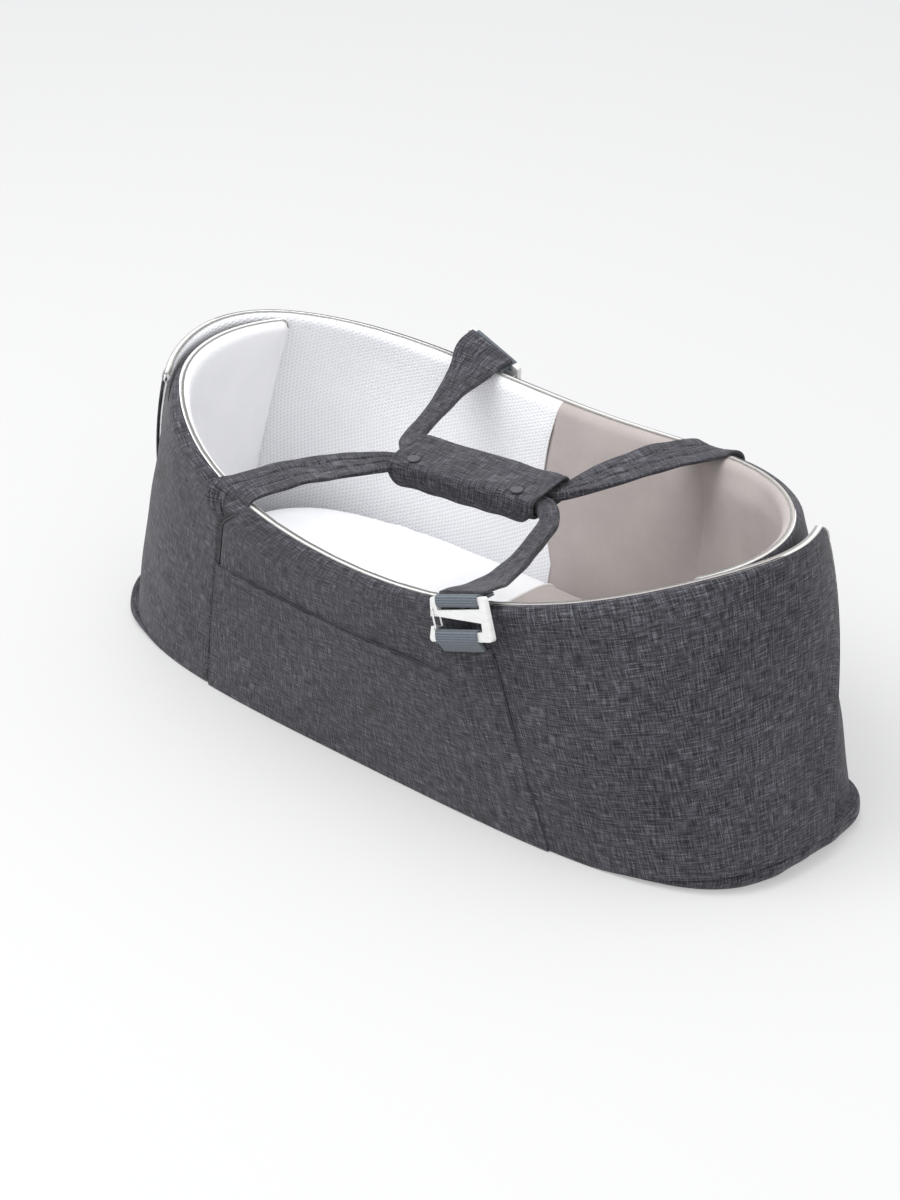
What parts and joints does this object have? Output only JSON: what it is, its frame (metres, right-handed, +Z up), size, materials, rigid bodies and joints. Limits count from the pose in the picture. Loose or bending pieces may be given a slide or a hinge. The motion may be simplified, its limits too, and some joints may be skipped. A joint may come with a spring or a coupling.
{
  "type": "soft carrycot",
  "caption": "Soft-sided baby carrycot with lapped padded walls, a mattress, two fold-in handle straps with hook buckles and a snap-closed grip wrap.",
  "frame": {"origin": "middle of the underside, on the surface the cot stands on", "axes": "+X along the cot towards the foot end, +Y towards the far side, +Z up"},
  "size_m": [0.7856, 0.3882, 0.2728],
  "materials": {
    "charcoal_fabric": "woven melange of charcoal and pale grey yarns, matt",
    "white_mesh": "white spacer mesh, matt",
    "taupe_fabric": "smooth brushed cotton, taupe",
    "rim_trim": "smooth off-white binding",
    "foam": "open-cell foam, hidden",
    "board": "stiff board, hidden",
    "white_metal": "satin silver-white",
    "wire_steel": "bright wire",
    "slate_webbing": "flat woven webbing, slate blue-grey",
    "snap_plastic": "matt charcoal"
  },
  "bodies": {
    "cot": {"base_board": "board", "base_pad": "foam", "base_tray": "charcoal_fabric", "far_buckle_band": "charcoal_fabric", "far_buckle_frame": "white_metal", "far_centre_outer_panel": "charcoal_fabric", "far_foot_lining": "taupe_fabric", "far_foot_outer_panel": "charcoal_fabric", "far_head_lining": "white_mesh", "far_head_outer_panel": "charcoal_fabric", "far_lower_webbing": "slate_webbing", "far_rim_binding": "rim_trim", "far_slip_pocket": "charcoal_fabric", "far_wall_padding": "foam", "mattress_core": "foam", "mattress_foot_cover": "taupe_fabric", "mattress_head_cover": "white_mesh", "mattress_seam_piping": "rim_trim", "near_buckle_band": "charcoal_fabric", "near_buckle_frame": "white_metal", "near_centre_outer_panel": "charcoal_fabric", "near_foot_lining": "taupe_fabric", "near_foot_outer_panel": "charcoal_fabric", "near_head_lining": "white_mesh", "near_head_outer_panel": "charcoal_fabric", "near_lower_webbing": "slate_webbing", "near_rim_binding": "rim_trim", "near_slip_pocket": "charcoal_fabric", "near_wall_padding": "foam"},
    "near_handle": {"near_handle_strap": "charcoal_fabric", "near_upper_webbing": "slate_webbing", "grip_wrap": "charcoal_fabric", "snap_studs": "snap_plastic"},
    "far_handle": {"far_handle_strap": "charcoal_fabric", "far_upper_webbing": "slate_webbing"},
    "grip_flap": {"grip_flap": "charcoal_fabric", "snap_caps": "snap_plastic"},
    "near_gate": {"near_buckle_gate": "wire_steel"},
    "far_gate": {"far_buckle_gate": "wire_steel"}
  },
  "joints": [
    {"name": "near_handle_swing", "type": "hinge", "parent": "cot", "child": "near_handle", "pos_m": [-0.127, -0.18454, 0.23794], "axis": [1, -0.0077, -0.0061], "range_deg": [0, 210], "deforming": ["grip_wrap", "grip_flap", "near_upper_webbing"]},
    {"name": "far_handle_swing", "type": "hinge", "parent": "cot", "child": "far_handle", "pos_m": [0.127, 0.18454, 0.23794], "axis": [-1, 0.0077, -0.0061], "range_deg": [0, 210], "deforming": ["far_upper_webbing"]},
    {"name": "grip_flap_open", "type": "hinge", "parent": "near_handle", "child": "grip_flap", "pos_m": [-0.00446, 0.02663, 0.2362], "axis": [-0.9863, -0.165, 0], "range_deg": [0, 150]},
    {"name": "near_gate_press", "type": "hinge", "parent": "cot", "child": "near_gate", "pos_m": [0.12618, -0.18479, 0.21988], "axis": [-0.0594, -0.9848, 0.1632], "range_deg": [0, 25], "stiffness_Nm_per_rad": 0.02, "springref_deg": -11.46},
    {"name": "far_gate_press", "type": "hinge", "parent": "cot", "child": "far_gate", "pos_m": [-0.12618, 0.18479, 0.21988], "axis": [0.0594, 0.9848, 0.1632], "range_deg": [0, 25], "stiffness_Nm_per_rad": 0.02, "springref_deg": -11.46}
  ]
}
